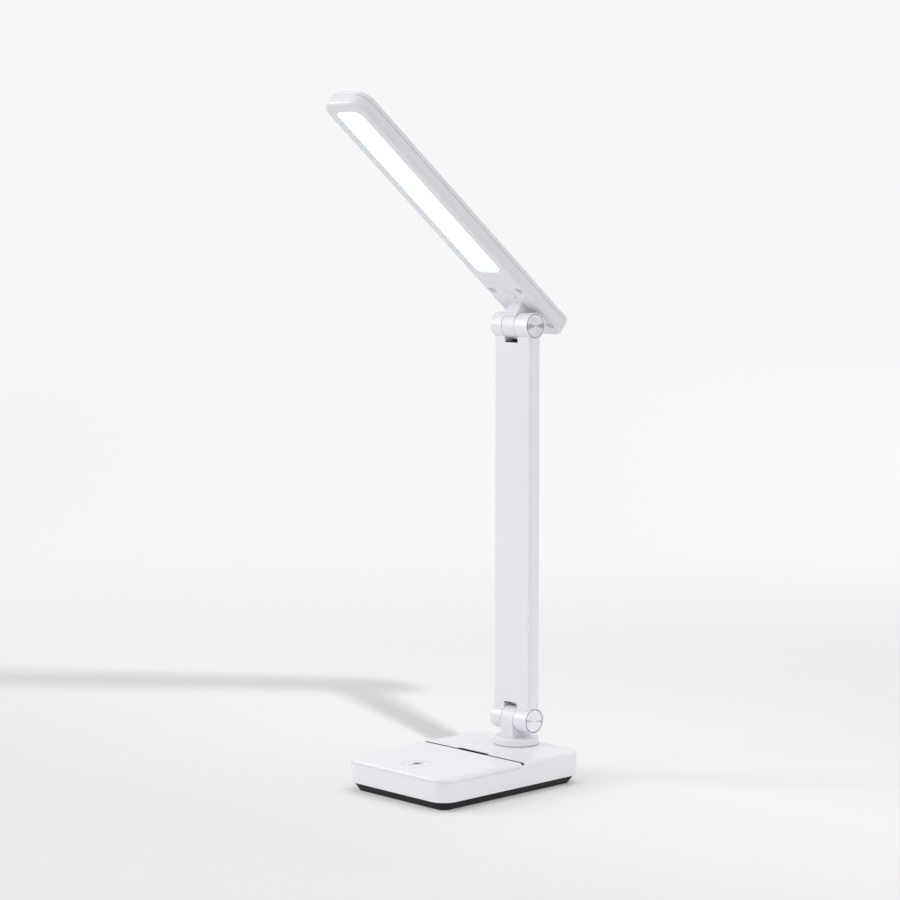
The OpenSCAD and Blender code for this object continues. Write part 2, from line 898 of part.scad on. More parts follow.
module coil_cover() {
    color(black)
        translate([0, pocket_y, plate_floor]) {
            linear_extrude(coil_cover_t)
                round_rect(pocket_w - 2 * fit, pocket_l - 2 * fit, pocket_corner - fit);
            // the rim that presses the coil up
            ring([0, ferrite_top - ferrite_t - skim - plate_floor], coil_r - 3, coil_r - 5);
        }
}

module charge_mark() {
    color([0.12, 0.12, 0.15])
        translate([0, mark_y, base_h - mark_t])
            linear_extrude(mark_t)
                mark_flat(0);
}

module plate_hinge_pins() {
    color(steel)
        ear_place()
            rod_x([-plate_pin_l / 2, plate_pin_l / 2], plate_pin_r);
}

// Turntable

module glide_ring() {
    color([0.3, 0.3, 0.32])
        translate([0, hinge_y, 0])
            ring([base_h, base_h + glide_t], glide_r, shaft_r + 4 * run);
}

module post_hole_flat(extra) {
    translate([mid_x, 0])
        square([mid_w + 2 * extra, 2 * knuckle_r + 2 * extra], center = true);
}

module turntable_collar() {
    color(white)
        translate([0, hinge_y, collar_z])
            difference() {
                rotate_extrude()
                    disc_profile(collar_r, collar_h, collar_round);
                translate([0, 0, -1])
                    cylinder(h = flange_t + fit + 1, r = flange_r + fit);
                translate([0, 0, -1])
                    linear_extrude(big)
                        post_hole_flat(fit);
            }
}

module hinge_post() {
    post_low = collar_z + skim;
    color(white)
        difference() {
            union() {
                translate([0, hinge_y, post_low])
                    linear_extrude(lower_axis_z - post_low)
                        post_hole_flat(0);
                at_lower_axis()
                    rod_x([mid_x - mid_w / 2, mid_x + mid_w / 2], knuckle_r);
                translate([0, hinge_y, post_low])
                    cylinder(h = flange_t, r = flange_r);
                translate([0, hinge_y, shaft_low])
                    cylinder(h = post_low - shaft_low + 1, r = shaft_r);
            }
            translate([0, hinge_y, shaft_low - 1])
                cylinder(h = lower_axis_z - shaft_low + 1, r = cable_hole_r);
            at_lower_axis()
                rod_x([-hinge_w, hinge_w], pin_r + run);
        }
}

module swivel_washer() {
    color(steel)
        translate([0, hinge_y, 0])
            ring([washer_low, washer_low + swivel_washer_t], nut_r, shaft_r + snug);
}

module swivel_nut() {
    color(steel)
        translate([0, hinge_y, nut_low])
            difference() {
                cylinder(h = nut_t, r = nut_r, $fn = 6);
                translate([0, 0, -1])
                    cylinder(h = nut_t + 2, r = shaft_r + snug);
            }
}

// Arm

// The arm's outline from the front face to the rear face, between depths y0 and y1
module arm_flat(y0, y1) {
    intersection() {
        round_rect(arm_w, arm_d, arm_edge);
        translate([-arm_w, y0])
            square([2 * arm_w, y1 - y0]);
    }
}

// What both ends of the arm share: the children at the lower end, and mirrored at the upper end
module both_ends() {
    at_lower_axis()
        children();
    at_upper_axis()
        mirror([0, 0, 1])
            children();
}

module fork() {
    for (side = [[-hinge_w / 2, fork_far], [fork_near, hinge_w / 2]])
        rod_x(side, knuckle_r);
    linear_extrude(notch_reach + web_l)
        arm_flat(fork_front, arm_d / 2);
}

module fork_cuts() {
    block([fork_far, fork_near], [-big, arm_d / 2 - arm_wall], [-big, notch_reach]);
    block([fork_far, fork_near], [-big, big], [-big, rear_reach]);
    rod_x([-big, big], pin_r + snug);
    for (sx = [-1, 1])
        translate([sx * hinge_w / 2, 0, 0])
            rod_x([-cap_pocket, cap_pocket], cap_r + cap_ring);
    translate([mid_x, 0, 0])
        linear_extrude(big)
            square([cable_slot_w, cable_slot_t], center = true);
}

module arm_rear_shell() {
    color(white)
        difference() {
            union() {
                translate([0, hinge_y, lower_axis_z + notch_reach])
                    linear_extrude(arm_l - 2 * notch_reach)
                        difference() {
                            arm_flat(fork_front, arm_d / 2);
                            translate([-arm_w / 2 + arm_wall, -arm_d])
                                square([arm_w - 2 * arm_wall, 3 * arm_d / 2 - arm_wall]);
                        }
                both_ends()
                    fork();
            }
            both_ends()
                fork_cuts();
        }
}

module arm_front_shell() {
    above_fork = notch_reach + web_l + skim;
    color(white) {
        difference() {
            translate([0, hinge_y, lower_axis_z + crease])
                linear_extrude(arm_l - 2 * crease)
                    arm_flat(-arm_d / 2, fork_front - arm_seam);
            both_ends() {
                rod_x([-big, big], knuckle_r + skim);
                block([fork_far, fork_near], [-big, big], [-big, notch_reach]);
            }
        }
        // the lips inside the rear shell, between the forks
        for (sx = [-1, 1])
            translate([sx * (arm_w / 2 - arm_wall - fit - front_lip_w / 2), hinge_y,
                       lower_axis_z + above_fork])
                block([-front_lip_w / 2, front_lip_w / 2],
                      [(front_skin - arm_d) / 2, fork_front + front_lip], [0, arm_l - 2 * above_fork]);
    }
}

// Black liners that close the arm's hollow behind the knuckles and let the cable through
module notch_liners() {
    color(black)
        both_ends()
            difference() {
                block([fork_far, fork_near], [fork_front, arm_d / 2 - arm_wall],
                      [liner_reach, notch_reach]);
                block([-big, big], [-big, arm_d / 2 - arm_wall - liner_t], [0, notch_reach - liner_t]);
                translate([mid_x, 0, 0])
                    linear_extrude(big)
                        square([cable_slot_w, cable_slot_t], center = true);
            }
}

module hinge_pin() {
    rotate([0, 90, 0])
        ring([-pin_half, pin_half], pin_r, pin_hole_r);
}

module lower_hinge_pin() {
    color(steel)
        at_lower_axis()
            hinge_pin();
}

module upper_hinge_pin() {
    color(steel)
        at_upper_axis()
            hinge_pin();
}

module friction_washers() {
    color(steel)
        both_ends()
            for (side = [-1, 1])
                translate([mid_x + side * (mid_w / 2 + skim + washer_t / 2), 0, 0])
                    rotate([0, 90, 0])
                        ring([-washer_t / 2, washer_t / 2], cap_r, pin_r + snug);
}

module hinge_caps() {
    color([0.8, 0.8, 0.82])
        both_ends()
            for (side = [-1, 1])
                rotate([0, side * 90, 0])
                    translate([0, 0, pin_half + skim])
                        rotate_extrude()
                            disc_profile(cap_r, cap_t, cap_round);
}

module arm_cable() {
    color([0.9, 0.9, 0.9])
        translate([mid_x, hinge_y, lower_axis_z + notch_reach])
            linear_extrude(arm_l - 2 * notch_reach)
                square([cable_w, cable_t], center = true);
}

// Head

module head_flat(inset) {
    translate([0, head_mid])
        round_rect(head_w - 2 * inset, head_l - 2 * inset, head_corner - inset);
}

module lit_flat(grow) {
    translate([0, lit_mid])
        round_rect(lit_w + 2 * grow, lit_l + 2 * grow, lit_corner + grow);
}

// The front of the head's neck, which stands out ahead of its knuckle
module neck_flat(extra) {
    translate([mid_x - mid_w / 2 - extra, -knuckle_r - neck_proud - extra])
        square([mid_w + 2 * extra, knuckle_r + neck_proud + extra]);
}

module at_head_screws() {
    for (sx = [-1, 1], y = [-screw_front, screw_rear])
        translate([sx * screw_x, y, head_drop])
            children();
}

module head_housing() {
    color(white)
        in_head()
            difference() {
                union() {
                    difference() {
                        translate([0, head_mid, head_drop])
                            slab(head_w, head_l, head_corner, frame_h, 0, head_edge);
                        translate([0, 0, head_drop + head_floor])
                            linear_extrude(frame_h)
                                head_flat(head_wall);
                    }
                    block([-head_w / 2 + 1, head_w / 2 - 1],
                          [-bracket_ahead - 1, bracket_behind + 0.6], [head_drop + 0.9, pad_top]);
                }
                translate([0, 0, head_drop - 1])
                    linear_extrude(frame_h)
                        lit_flat(0);
                translate([0, 0, head_drop - 1])
                    linear_extrude(frame_h) {
                        post_hole_flat(fit);
                        neck_flat(fit);
                    }
                at_head_screws() {
                    translate([0, 0, -1])
                        cylinder(h = recess_d + 1, r = recess_r);
                    cylinder(h = frame_h, r = screw_r + fit);
                }
                translate([0, -button_ahead, head_drop - 1])
                    cylinder(h = frame_h, r = button_r + fit);
            }
}

module head_cover() {
    color(white)
        in_head() {
            difference() {
                translate([0, head_mid, cover_low])
                    slab(head_w - 2 * cover_inset, head_l - 2 * cover_inset,
                         head_corner - cover_inset, cover_t, cover_edge);
                translate([0, 0, cover_low - 1])
                    linear_extrude(cover_hollow + 1)
                        lit_flat(2);
            }
            translate([0, 0, cover_low - cover_gap - 1])
                linear_extrude(cover_gap + 1 + eps)
                    difference() {
                        head_flat(head_wall + fit);
                        head_flat(head_wall + fit + 1);
                    }
            for (part = [0.15, 0.5, 0.85])
                translate([0, -lit_start - part * lit_l, board_low + led_board_t])
                    linear_extrude(cover_low + cover_hollow - board_low - led_board_t + eps)
                        square([led_board_w - 4, 3], center = true);
        }
}

module head_bracket() {
    color(white)
        in_head()
            difference() {
                union() {
                    rod_x([mid_x - mid_w / 2, mid_x + mid_w / 2], knuckle_r);
                    linear_extrude(pad_top + bracket_t)
                        post_hole_flat(0);
                    translate([0, 0, neck_low])
                        linear_extrude(pad_top - neck_low + 1)
                            neck_flat(0);
                    block([-bracket_w / 2, bracket_w / 2], [-bracket_ahead, bracket_behind],
                          [pad_top, pad_top + bracket_t]);
                }
                rod_x([-big, big], pin_r + run);
                cylinder(h = big, r = cable_hole_r);
                translate([0, -button_ahead, pad_top - 1])
                    cylinder(h = 2 * frame_h, r = button_flange + 4 * fit);
                at_head_screws()
                    cylinder(h = 2 * frame_h, r = screw_r);
            }
}

module lit_panel() {
    low = head_drop + lit_recess;
    color([1, 0.98, 0.94])
        in_head() {
            translate([0, 0, low])
                linear_extrude(lit_t)
                    lit_flat(-fit);
            translate([0, 0, head_drop + head_floor + skim])
                linear_extrude(0.8)
                    lit_flat(1.4);
        }
}

module light_board() {
    color([0.85, 0.85, 0.87])
        in_head()
            translate([0, lit_mid, board_low])
                linear_extrude(led_board_t)
                    round_rect(led_board_w, lit_l - 4, 3);
}

module light_chips() {
    color([1, 0.85, 0.4])
        in_head()
            for (i = [0 : chip_count - 1], sx = [-1, 1])
                translate([sx * chip_spread / 2,
                           -lit_start - chip_pitch * (i + (sx > 0 ? 0.5 : 1)),
                           board_low - chip_t])
                    linear_extrude(chip_t)
                        square(chip_side, center = true);
}

module head_screws() {
    color(steel)
        in_head()
            at_head_screws()
                translate([0, 0, screw_sink])
                    pan_screw(recess_r - fit, 1, screw_r - snug, 3);
}

module power_button() {
    button_low = head_drop - button_proud;
    color(white)
        in_head()
            translate([0, -button_ahead, 0]) {
                translate([0, 0, button_low])
                    cylinder(h = button_top - button_low, r = button_r);
                translate([0, 0, flange_low])
                    cylinder(h = button_top - flange_low, r = button_flange);
                translate([0, 0, button_top - eps])
                    cylinder(h = stem_top - button_top + eps, r = stem_r);
            }
}

module button_switch() {
    card_low = switch_low + switch_t;
    color(black)
        in_head()
            translate([0, -button_ahead, 0]) {
                translate([0, 0, nub_low])
                    cylinder(h = switch_low - nub_low + eps, r = nub_r);
                translate([0, 0, switch_low])
                    linear_extrude(switch_t)
                        square(switch_side, center = true);
                // its card, glued under the cover
                translate([0, 0, card_low - eps])
                    linear_extrude(cover_low - card_low)
                        round_rect(14, 9, 1);
            }
}

sole_pad();
bottom_tray();
base_case();
case_screws();
charge_deck();
deck_screws();
ballast_plate();
battery_pack();
main_board();
board_screws();
charging_socket();
charge_plate();
charge_coil();
ferrite_sheet();
coil_cover();
charge_mark();
plate_hinge_pins();
glide_ring();
turntable_collar();
hinge_post();
swivel_washer();
swivel_nut();
arm_rear_shell();
arm_front_shell();
lower_hinge_pin();
upper_hinge_pin();
friction_washers();
hinge_caps();
notch_liners();
arm_cable();
head_bracket();
head_housing();
head_cover();
lit_panel();
light_board();
light_chips();
head_screws();
button_switch();
power_button();
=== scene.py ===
# %% [markdown]
# # A folding desk lamp
# The lamp's solids come from the drawing office: their places and sizes are final, so this lesson never
# moves or reshapes them. What it adds is what a drawing leaves out: turned metal, moulded plastic, the glow
# of the light panel, and small hardware modelled closely enough to hold in the hand.

# %% Load the lamp
import math

import bmesh
import bpy
from mathutils import Matrix, Vector


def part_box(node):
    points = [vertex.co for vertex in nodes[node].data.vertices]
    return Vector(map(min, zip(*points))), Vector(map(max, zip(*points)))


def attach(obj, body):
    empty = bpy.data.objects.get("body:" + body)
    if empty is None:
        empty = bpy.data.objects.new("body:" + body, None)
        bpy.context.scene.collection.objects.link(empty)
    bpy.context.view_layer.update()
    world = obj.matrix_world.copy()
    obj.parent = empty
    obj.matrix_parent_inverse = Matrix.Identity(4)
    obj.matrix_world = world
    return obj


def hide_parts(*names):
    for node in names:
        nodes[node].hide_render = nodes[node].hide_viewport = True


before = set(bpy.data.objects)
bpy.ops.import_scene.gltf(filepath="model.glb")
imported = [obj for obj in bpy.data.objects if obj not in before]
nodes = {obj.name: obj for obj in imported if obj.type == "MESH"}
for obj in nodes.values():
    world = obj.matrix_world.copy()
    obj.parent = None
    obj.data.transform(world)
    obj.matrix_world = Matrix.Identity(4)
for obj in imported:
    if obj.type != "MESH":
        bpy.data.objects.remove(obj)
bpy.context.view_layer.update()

# %% [markdown]
# Blender works in metres here and a lamp is drawn in millimetres, so one small constant keeps the numbers
# readable. The two hinges of the arm share their axis direction, X. Their heights come from the pins
# themselves.

# %% Measures taken from the frame
MM = 0.001


def middle(node):
    low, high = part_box(node)
    return (low + high) / 2


LOWER_AXIS = middle("lower_hinge_pin")
UPPER_AXIS = middle("upper_hinge_pin")
HEAD_TILT = math.radians(39)
# The head's own directions: along it to the tip, and out through its top
HEAD_AHEAD = Vector((0, -math.cos(HEAD_TILT), math.sin(HEAD_TILT)))
HEAD_UP = Vector((0, math.sin(HEAD_TILT), math.cos(HEAD_TILT)))
print("arm between hinges:", round((UPPER_AXIS - LOWER_AXIS).length / MM, 1), "mm")

# %% [markdown]
# ## The camera
# A product photographer stands well back with a long lens, so that upright edges stay upright. The
# direction, distance and lens below reproduce such a view: a little above the table, looking across the
# lamp's right front corner.

# %% Camera
VIEW_AZIMUTH = math.radians(46.31)
VIEW_ELEVATION = math.radians(5.6)
CAMERA_DISTANCE = 1.6413
AIM_SIDEWAYS = -0.0436
AIM_HEIGHT = 0.2138
LENS = 101.28
SENSOR_WIDTH = 36

looking = Vector(
    (
        -math.sin(VIEW_AZIMUTH) * math.cos(VIEW_ELEVATION),
        math.cos(VIEW_AZIMUTH) * math.cos(VIEW_ELEVATION),
        -math.sin(VIEW_ELEVATION),
    )
)
rightward = Vector((math.cos(VIEW_AZIMUTH), math.sin(VIEW_AZIMUTH), 0))
aim = rightward * AIM_SIDEWAYS + Vector((0, LOWER_AXIS.y, AIM_HEIGHT))
camera_data = bpy.data.cameras.new("camera")
camera_data.lens = LENS
camera_data.sensor_width = SENSOR_WIDTH
camera = bpy.data.objects.new("camera", camera_data)
camera.location = aim - looking * CAMERA_DISTANCE
camera.rotation_euler = looking.to_track_quat("-Z", "Y").to_euler()
bpy.context.scene.collection.objects.link(camera)
bpy.context.scene.camera = camera
print("camera at", [round(c, 3) for c in camera.location])

# %% [markdown]
# ## Writing materials
# Every finish below is a small network of nodes, and typing such a network out is noisy. The helper adds
# one node, sets its sockets from keywords and returns it, so that a finish reads from top to bottom like a
# recipe. Object coordinates are in metres, which makes every pattern's scale a real one: a noise of scale
# 400 has lumps of about 2.5 mm.

# %% Node helper


def feed(tree, sockets, values):
    """Gives each socket its value: a plain one, or another node's output to link."""
    for socket, value in zip(sockets, values):
        if isinstance(value, bpy.types.NodeSocket):
            tree.links.new(value, socket)
        else:
            socket.default_value = value


def add(tree, kind, choices=None, **sockets):
    """Adds a shader node, with its choices as properties and its sockets' values as keywords."""
    node = tree.nodes.new("ShaderNode" + kind)
    for name, choice in (choices or {}).items():
        setattr(node, name, choice)
    feed(tree, [node.inputs[name.replace("_", " ")] for name in sockets], sockets.values())
    return node


def start_finish(name, roughness, metallic=0.0):
    """A new material, its node tree, its main shader and the object coordinates."""
    finish = bpy.data.materials.new(name)
    finish.use_nodes = True
    tree = finish.node_tree
    shader = tree.nodes["Principled BSDF"]
    shader.inputs["Roughness"].default_value = roughness
    shader.inputs["Metallic"].default_value = metallic
    where = add(tree, "TexCoord").outputs["Object"]
    return finish, tree, shader, where


def maths(tree, operation, *values):
    """One sum of numbers or outputs; the result is an output."""
    node = add(tree, "Math", {"operation": operation})
    feed(tree, node.inputs, values)
    return node.outputs[0]


def vectors(tree, operation, *values):
    """One sum of vectors or outputs; the result is a vector, or a number where the sum gives one."""
    node = add(tree, "VectorMath", {"operation": operation})
    feed(tree, node.inputs, values)
    return node.outputs["Value" if operation in ("LENGTH", "DISTANCE", "DOT_PRODUCT") else "Vector"]


def blend_colours(tree, factor, first, second, blend_type="MIX"):
    """A blend of two colours or outputs by a factor; the result is an output."""
    node = add(tree, "Mix", {"data_type": "RGBA", "blend_type": blend_type})
    feed(tree, (node.inputs[0], node.inputs[6], node.inputs[7]), (factor, first, second))
    return node.outputs[2]


def opaque(colour):
    return (*colour, 1.0)


# %% [markdown]
# ## Moulded white plastic
# The shells are injection moulded and polished. Up close such a surface isn't perfect: the sheen wanders a
# little, and a faint orange peel bends the reflections. A crisp drawn edge would look like paper, so a
# Bevel node rounds the shading at every edge by the radius that a mould leaves.

# %% White plastic
EDGE_RADIUS = 0.15 * MM


def moulded(name, colour, roughness, peel=0.02, grain=0.0, grain_scale=2500, edge=EDGE_RADIUS):
    finish, tree, shader, where = start_finish(name, roughness)
    drift = add(tree, "TexNoise", Vector=where, Scale=14.0, Detail=2.0).outputs[0]
    darker = opaque([c * 0.975 for c in colour])
    tone = blend_colours(tree, drift, darker, opaque(colour))
    tree.links.new(tone, shader.inputs["Base Color"])
    sheen = add(tree, "TexNoise", Vector=where, Scale=60.0, Detail=3.0).outputs[0]
    spread = add(tree, "MapRange", Value=sheen, To_Min=roughness * 0.85, To_Max=roughness * 1.2)
    tree.links.new(spread.outputs[0], shader.inputs["Roughness"])
    rounded = add(tree, "Bevel", {"samples": 8}, Radius=edge).outputs[0]
    ripple = add(tree, "TexNoise", Vector=where, Scale=180.0, Detail=1.0).outputs[0]
    bent = add(tree, "Bump", Strength=peel, Distance=0.4 * MM, Height=ripple, Normal=rounded).outputs[0]
    if grain > 0:
        pits = add(tree, "TexNoise", Vector=where, Scale=float(grain_scale), Detail=2.0).outputs[0]
        bent = add(tree, "Bump", Strength=grain, Distance=0.1 * MM, Height=pits, Normal=bent).outputs[0]
    tree.links.new(bent, shader.inputs["Normal"])
    return finish


WHITE = (0.84, 0.833, 0.875)
gloss_white = moulded("gloss_white", WHITE, 0.2)
satin_white = moulded("satin_white", (0.83, 0.825, 0.865), 0.32, grain=0.05)
cable_white = moulded("cable_white", (0.78, 0.78, 0.79), 0.5, grain=0.1)
print("white finishes:", gloss_white.name, satin_white.name, cable_white.name)

# %% [markdown]
# ## Black plastic and rubber
# The tray under the base is a textured black moulding: its mould was spark eroded, which leaves fine pits
# and a duller surface. The sole is softer and duller still, with a small diamond pattern that keeps it from
# sliding.

# %% Black plastic
BLACK = (0.011, 0.011, 0.013)
textured_black = moulded("textured_black", BLACK, 0.5, grain=0.25, grain_scale=3200)
inner_black = moulded("inner_black", (0.016, 0.016, 0.018), 0.55, grain=0.15)
for finish in (textured_black, inner_black):
    finish.node_tree.nodes["Principled BSDF"].inputs["Specular IOR Level"].default_value = 0.2


def ribbed_rubber(name, pitch):
    """Rubber with small diamonds standing out of it."""
    finish, tree, shader, where = start_finish(name, 0.75)
    axes = add(tree, "SeparateXYZ", Vector=where)
    waves_per_metre = 2 * math.pi / pitch
    waves = []
    for operation in ("ADD", "SUBTRACT"):
        along = maths(tree, operation, axes.outputs["X"], axes.outputs["Y"])
        waves.append(maths(tree, "SINE", maths(tree, "MULTIPLY", along, waves_per_metre)))
    diamonds = maths(tree, "MULTIPLY", waves[0], waves[1])
    dust = add(tree, "TexNoise", Vector=where, Scale=900.0, Detail=4.0).outputs[0]
    tone = blend_colours(tree, dust, opaque((0.018, 0.018, 0.018)), opaque((0.035, 0.034, 0.033)))
    tree.links.new(tone, shader.inputs["Base Color"])
    bent = add(tree, "Bump", Strength=0.5, Distance=0.2 * MM, Height=diamonds).outputs[0]
    tree.links.new(bent, shader.inputs["Normal"])
    return finish


sole_rubber = ribbed_rubber("sole_rubber", 2.4 * MM)

# %% [markdown]
# ## Metals
# Steel pins and screws are turned: fine scratches run round their axis. A noise that is stretched along one
# direction makes such scratches. The caps at the hinges get their own recipe further down.

# %% Turned and plated metals


def metal(name, colour, roughness, stretch=(1, 1, 1), scratch_scale=4000.0, depth=0.1):
    finish, tree, shader, where = start_finish(name, roughness, metallic=1.0)
    drawn = add(tree, "Mapping", Vector=where, Scale=stretch).outputs[0]
    lines = add(tree, "TexNoise", Vector=drawn, Scale=scratch_scale, Detail=3.0).outputs[0]
    tone = blend_colours(tree, lines, opaque([c * 0.85 for c in colour]), opaque(colour))
    tree.links.new(tone, shader.inputs["Base Color"])
    spread = add(tree, "MapRange", Value=lines, To_Min=roughness * 0.8, To_Max=roughness * 1.3)
    tree.links.new(spread.outputs[0], shader.inputs["Roughness"])
    rounded = add(tree, "Bevel", {"samples": 4}, Radius=0.1 * MM).outputs[0]
    bent = add(tree, "Bump", Strength=depth, Distance=0.05 * MM, Height=lines, Normal=rounded).outputs[0]
    tree.links.new(bent, shader.inputs["Normal"])
    return finish


steel = metal("turned_steel", (0.62, 0.62, 0.64), 0.3, stretch=(1, 0.1, 0.1))
zinc = metal("zinc_plate", (0.78, 0.78, 0.81), 0.38, scratch_scale=1200.0)
tin = metal("tinned_shell", (0.7, 0.7, 0.72), 0.25, stretch=(0.1, 1, 1))
gold = metal("gold_contact", (0.9, 0.66, 0.28), 0.25)

# %% [markdown]
# ## Inner parts
# The parts inside the housings are seen only when the lamp is taken apart, but each still has its own
# finish: the copper of the coil is a wound wire, so fine rings run round its middle, with painted shade
# between the turns, and the board is green lacquer over a faint pattern of tracks.

# %% Coil, ferrite, boards and battery


def wound_copper(name, centre, pitch):
    """Rings of enamelled wire round a centre, with painted shade in the grooves between the turns."""
    finish, tree, shader, where = start_finish(name, 0.35, metallic=1.0)
    flat = vectors(tree, "MULTIPLY", vectors(tree, "SUBTRACT", where, centre), (1, 1, 0))
    radius = vectors(tree, "LENGTH", flat)
    rings = maths(tree, "SINE", maths(tree, "MULTIPLY", radius, 2 * math.pi / pitch))
    # Painted shade: the colour darkens where the rings sink between the turns
    painted_turn_shade = add(tree, "MapRange", Value=rings, From_Min=-1.0).outputs[0]
    tone = blend_colours(tree, painted_turn_shade, opaque((0.3, 0.11, 0.05)), opaque((0.75, 0.36, 0.18)))
    tree.links.new(tone, shader.inputs["Base Color"])
    bent = add(tree, "Bump", Strength=0.6, Distance=0.2 * MM, Height=rings).outputs[0]
    tree.links.new(bent, shader.inputs["Normal"])
    return finish


def lacquered_board(name, lacquer, track):
    """Solder lacquer over square tracks."""
    finish, tree, shader, where = start_finish(name, 0.3)
    squares = {"distance": "MANHATTAN", "feature": "DISTANCE_TO_EDGE"}
    cells = add(tree, "TexVoronoi", squares, Vector=where, Scale=350.0).outputs["Distance"]
    line = maths(tree, "LESS_THAN", cells, 0.06)
    tone = blend_colours(tree, line, opaque(lacquer), opaque(track))
    tree.links.new(tone, shader.inputs["Base Color"])
    bent = add(tree, "Bump", Strength=0.2, Distance=0.05 * MM, Height=line).outputs[0]
    tree.links.new(bent, shader.inputs["Normal"])
    return finish


copper = wound_copper("wound_copper", middle("charge_coil"), 0.55 * MM)
ferrite = moulded("sintered_ferrite", (0.05, 0.05, 0.055), 0.6, grain=0.3)
green_board = lacquered_board("green_board", (0.02, 0.16, 0.07), (0.05, 0.3, 0.14))
white_board = lacquered_board("white_board", (0.75, 0.75, 0.76), (0.85, 0.85, 0.86))
cell_sleeve = moulded("cell_sleeve", (0.05, 0.16, 0.42), 0.25, peel=0.15)
phosphor = moulded("phosphor", (0.95, 0.75, 0.2), 0.6, grain=0.2)
print("inner finishes made")

# %% [markdown]
# ## The charging mark
# The mark on the plate is an inlay of two tones: a dark bolt, and round it a ring so pale that it shows
# only from near. One solid carries both, so its colour changes with the distance from the mark's centre.

# %% Charging mark
MARK_CENTRE = middle("charge_mark")
RING_STARTS = 8.0 * MM


def two_tone_ink(name, dark, pale):
    finish, tree, shader, where = start_finish(name, 0.4)
    in_ring = maths(tree, "GREATER_THAN", vectors(tree, "DISTANCE", where, MARK_CENTRE), RING_STARTS)
    specks = add(tree, "TexNoise", Vector=where, Scale=3000.0, Detail=2.0).outputs[0]
    bolt = blend_colours(tree, specks, opaque([c * 0.7 for c in dark]), opaque([c * 1.3 for c in dark]))
    tone = blend_colours(tree, in_ring, bolt, opaque(pale))
    tree.links.new(tone, shader.inputs["Base Color"])
    bent = add(tree, "Bump", Strength=0.1, Distance=0.05 * MM, Height=specks).outputs[0]
    tree.links.new(bent, shader.inputs["Normal"])
    return finish


mark_ink = two_tone_ink("mark_ink", (0.03, 0.03, 0.05), (0.62, 0.61, 0.68))

# %% [markdown]
# ## The light panel
# An opal sheet spreads the light of two rows of chips, warm and cool ones by turns. In the middle the sheet
# is white hot; towards its long edges the light falls off, and there the turns of warm and cool show as
# faint tints. The pattern is laid out in the head's own directions, so it stays on the panel when the head
# folds.

# %% Opal panel
panel_low, panel_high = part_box("lit_panel")
PANEL_HALF_WIDTH = (panel_high.x - panel_low.x) / 2
PANEL_MIDDLE = (panel_low + panel_high) / 2
panel_reach = (panel_high - panel_low) / 2
PANEL_HALF_LENGTH = panel_reach.y * abs(HEAD_AHEAD.y) + panel_reach.z * abs(HEAD_AHEAD.z)
CHIP_PITCH = 10.3 * MM
# Shares of the panel's half width: where the light starts to fall off, and how softly the corners turn
FALL_STARTS = 0.42
CORNER_SOFTNESS = 0.2
WARM = (1.0, 0.74, 0.52, 1)
COOL = (0.5, 0.86, 1.0, 1)


def opal(name, core, rim):
    """Opal sheet: white hot inside, tinted by turns at its rim."""
    finish, tree, shader, where = start_finish(name, 0.45)
    shader.inputs["Base Color"].default_value = (0.72, 0.72, 0.73, 1)
    across = add(tree, "SeparateXYZ", Vector=where).outputs["X"]
    along = vectors(tree, "DOT_PRODUCT", vectors(tree, "SUBTRACT", where, PANEL_MIDDLE), HEAD_AHEAD)
    side = maths(tree, "DIVIDE", maths(tree, "ABSOLUTE", across), PANEL_HALF_WIDTH)
    to_end = maths(tree, "SUBTRACT", PANEL_HALF_LENGTH, maths(tree, "ABSOLUTE", along))
    end = maths(tree, "SUBTRACT", 1.0, maths(tree, "DIVIDE", to_end, PANEL_HALF_WIDTH))
    edge = maths(tree, "SMOOTH_MAX", side, end, CORNER_SOFTNESS)
    glow = add(tree, "MapRange", {"interpolation_type": "SMOOTHERSTEP"}, Value=edge, From_Min=FALL_STARTS,
               From_Max=1.0, To_Min=core, To_Max=rim).outputs[0]
    turns = maths(tree, "SINE", maths(tree, "MULTIPLY", along, math.pi / CHIP_PITCH))
    share = add(tree, "MapRange", Value=turns, From_Min=-0.7, From_Max=0.7).outputs[0]
    warm_or_cool = blend_colours(tree, share, WARM, COOL)
    tree.links.new(warm_or_cool, shader.inputs["Emission Color"])
    tree.links.new(glow, shader.inputs["Emission Strength"])
    return finish


opal_panel = opal("opal_panel", 2.4, 0.16)
print("panel:", round(2 * PANEL_HALF_WIDTH / MM, 1), "by", round(2 * PANEL_HALF_LENGTH / MM, 1), "mm")

# %% [markdown]
# ## Dressing the solids
# Each solid gets its finish by name. A table reads better than forty lines of assignments, and a solid that
# is missing from it would be noticed at once.

# %% Finishes by name
FINISHES = {
    gloss_white: ("base_case", "charge_plate", "turntable_collar", "arm_rear_shell", "arm_front_shell",
                  "head_housing", "head_cover"),
    satin_white: ("hinge_post", "head_bracket", "power_button"),
    cable_white: ("arm_cable", "glide_ring"),
    textured_black: ("bottom_tray", "charge_deck"),
    # Painted shade: the notch liners are black so that the notch they line reads as a dark slot
    inner_black: ("coil_cover", "notch_liners", "button_switch"),
    sole_rubber: ("sole_pad",),
    steel: ("lower_hinge_pin", "upper_hinge_pin", "plate_hinge_pins", "friction_washers", "hinge_caps"),
    zinc: ("case_screws", "deck_screws", "board_screws", "head_screws", "swivel_washer", "swivel_nut",
           "ballast_plate"),
    tin: ("charging_socket",),
    copper: ("charge_coil",),
    ferrite: ("ferrite_sheet",),
    green_board: ("main_board",),
    white_board: ("light_board",),
    phosphor: ("light_chips",),
    cell_sleeve: ("battery_pack",),
    mark_ink: ("charge_mark",),
    opal_panel: ("lit_panel",),
}
dressed = set()
for finish, names in FINISHES.items():
    for name in names:
        mesh = nodes[name].data
        mesh.materials.clear()
        mesh.materials.append(finish)
        dressed.add(name)
print("solids without a finish:", sorted(set(nodes) - dressed))
